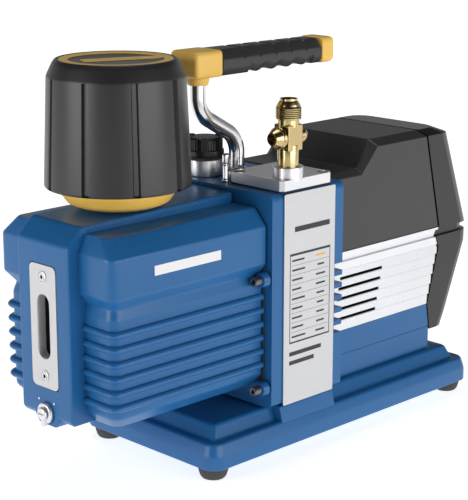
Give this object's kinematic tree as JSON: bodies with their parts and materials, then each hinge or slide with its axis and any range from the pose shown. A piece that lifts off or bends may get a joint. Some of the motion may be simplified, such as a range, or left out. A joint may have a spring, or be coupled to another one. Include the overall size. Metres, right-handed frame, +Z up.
{
  "type": "rotary vane vacuum pump",
  "caption": "Direct-drive two-stage rotary vane vacuum pump: ribbed oil casing with sight window, mist filter, flare intake fitting, carrying handle, finned motor, rubber feet",
  "frame": {"origin": "middle of the overall box, on the ground under the feet", "axes": "+X along the shaft from the oil casing to the motor, +Y away from the rating plate, +Z up"},
  "size_m": [0.4244, 0.147, 0.3075],
  "materials": {
    "blue_enamel": "satin blue enamel over cast aluminium",
    "black_rubber": "matt moulded rubber",
    "plate_silver": "satin anodised sheet",
    "polished_aluminium": "polished",
    "brass": "machined, slightly tarnished",
    "chrome": "bright plated tube",
    "yellow_plastic": "moulded",
    "grip_plastic": "moulded, ribbed top",
    "dark_plastic": "moulded, fine texture",
    "black_plastic": "moulded, fine texture",
    "silver_panel": "silver lacquer",
    "screw_steel": "zinc plated",
    "sight_glass": "clear, flat",
    "cast_iron": "machined casting",
    "ground_steel": "ground",
    "vane_composite": "graphite filled composite",
    "gasket_paper": "pressed gasket sheet",
    "filter_media": "pleated glass fibre",
    "stator_steel": "laminated"
  },
  "bodies": {
    "pump": {"base_plate": "blue_enamel", "pump_housing": "blue_enamel", "oil_tank": "blue_enamel", "motor_frame": "blue_enamel", "foot_front_near": "black_rubber", "foot_rear_near": "black_rubber", "foot_front_far": "black_rubber", "foot_rear_far": "black_rubber", "rating_plate": "plate_silver", "window_plate": "plate_silver", "tank_gasket": "gasket_paper", "tank_screw_lower_near": "screw_steel", "tank_screw_upper_near": "screw_steel", "tank_screw_lower_far": "screw_steel", "tank_screw_upper_far": "screw_steel", "window_screw_upper": "screw_steel", "window_screw_lower": "screw_steel", "intake_screw_near": "screw_steel", "intake_screw_far": "screw_steel", "sight_glass": "sight_glass", "drain_valve": "polished_aluminium", "exhaust_neck": "polished_aluminium", "intake_block": "polished_aluminium", "filler_neck": "polished_aluminium", "handle_front_cap": "yellow_plastic", "handle_rear_cap": "yellow_plastic", "motor_cover": "dark_plastic", "intake_fitting": "brass", "handle_tube": "chrome", "handle_grip": "grip_plastic", "rear_cover": "black_plastic", "power_inlet": "black_plastic", "run_capacitor": "black_plastic", "high_stage_stator": "cast_iron", "low_stage_stator": "cast_iron", "centre_plate": "cast_iron", "motor_end_shield": "cast_iron", "bearing_front": "ground_steel", "bearing_rear": "ground_steel", "motor_stator": "stator_steel", "side_louvre_near": "silver_panel", "side_louvre_far": "silver_panel"},
    "shaft": {"pump_rotor": "ground_steel", "shaft_coupling": "cast_iron", "motor_rotor": "stator_steel", "cooling_fan": "black_plastic"},
    "high_vane_near": {"high_stage_vane_near": "vane_composite"},
    "high_vane_far": {"high_stage_vane_far": "vane_composite"},
    "low_vane_near": {"low_stage_vane_near": "vane_composite"},
    "low_vane_far": {"low_stage_vane_far": "vane_composite"},
    "exhaust_valve": {"exhaust_valve_disc": "ground_steel"},
    "filler_washer": {"filler_seal": "black_rubber"},
    "filler_plug": {"filler_cap": "black_plastic"},
    "filter_washer": {"filter_seal": "black_rubber"},
    "mist_filter": {"filter_cup": "yellow_plastic", "filter_housing": "dark_plastic", "filter_element": "filter_media"},
    "drain_tap": {"drain_knob": "polished_aluminium"},
    "ballast_valve": {"gas_ballast_valve": "polished_aluminium"},
    "switch_rocker": {"power_switch": "black_plastic"}
  },
  "joints": [
    {"name": "shaft_spin", "type": "hinge", "parent": "pump", "child": "shaft", "pos_m": [0, 0, 0.122], "axis": [1, 0, 0], "continuous": true},
    {"name": "high_vane_near_slide", "type": "slide", "parent": "shaft", "child": "high_vane_near", "axis": [0, -1, 0], "range_m": [0, 0.0032]},
    {"name": "high_vane_far_slide", "type": "slide", "parent": "shaft", "child": "high_vane_far", "axis": [0, 1, 0], "range_m": [0, 0.0032]},
    {"name": "low_vane_near_slide", "type": "slide", "parent": "shaft", "child": "low_vane_near", "axis": [0, -1, 0], "range_m": [0, 0.0032]},
    {"name": "low_vane_far_slide", "type": "slide", "parent": "shaft", "child": "low_vane_far", "axis": [0, 1, 0], "range_m": [0, 0.0032]},
    {"name": "exhaust_valve_lift", "type": "slide", "parent": "pump", "child": "exhaust_valve", "axis": [0, 0, 1], "range_m": [0, 0.0015]},
    {"name": "filler_cap_turn", "type": "hinge", "parent": "filler_washer", "child": "filler_plug", "pos_m": [-0.02725, 0.025, 0.2188], "axis": [0, 0, 1], "range_deg": [0, 1080]},
    {"name": "filler_cap_rise", "type": "slide", "parent": "pump", "child": "filler_washer", "axis": [0, 0, 1], "range_m": [0, 0.0061]},
    {"name": "filter_turn", "type": "hinge", "parent": "filter_washer", "child": "mist_filter", "pos_m": [-0.1368, 0, 0.2018], "axis": [0, 0, 1], "range_deg": [0, 1440]},
    {"name": "filter_rise", "type": "slide", "parent": "pump", "child": "filter_washer", "axis": [0, 0, 1], "range_m": [0, 0.0093]},
    {"name": "drain_turn", "type": "hinge", "parent": "pump", "child": "drain_tap", "pos_m": [-0.21035, 0, 0.0625], "axis": [1, 0, 0], "range_deg": [0, 90]},
    {"name": "gas_ballast_turn", "type": "hinge", "parent": "pump", "child": "ballast_valve", "pos_m": [-0.0375, -0.0083, 0.2153], "axis": [0, 0, 1], "range_deg": [0, 180]},
    {"name": "power_switch_rock", "type": "hinge", "parent": "pump", "child": "switch_rocker", "pos_m": [0.167, 0.051, 0.2], "axis": [1, 0, 0], "range_deg": [0, 20]}
  ],
  "couplings": [
    {"joint": "filler_cap_rise", "follows": "filler_cap_turn", "m_per_rad": 0.00031831},
    {"joint": "filter_rise", "follows": "filter_turn", "m_per_rad": 0.00036606}
  ]
}
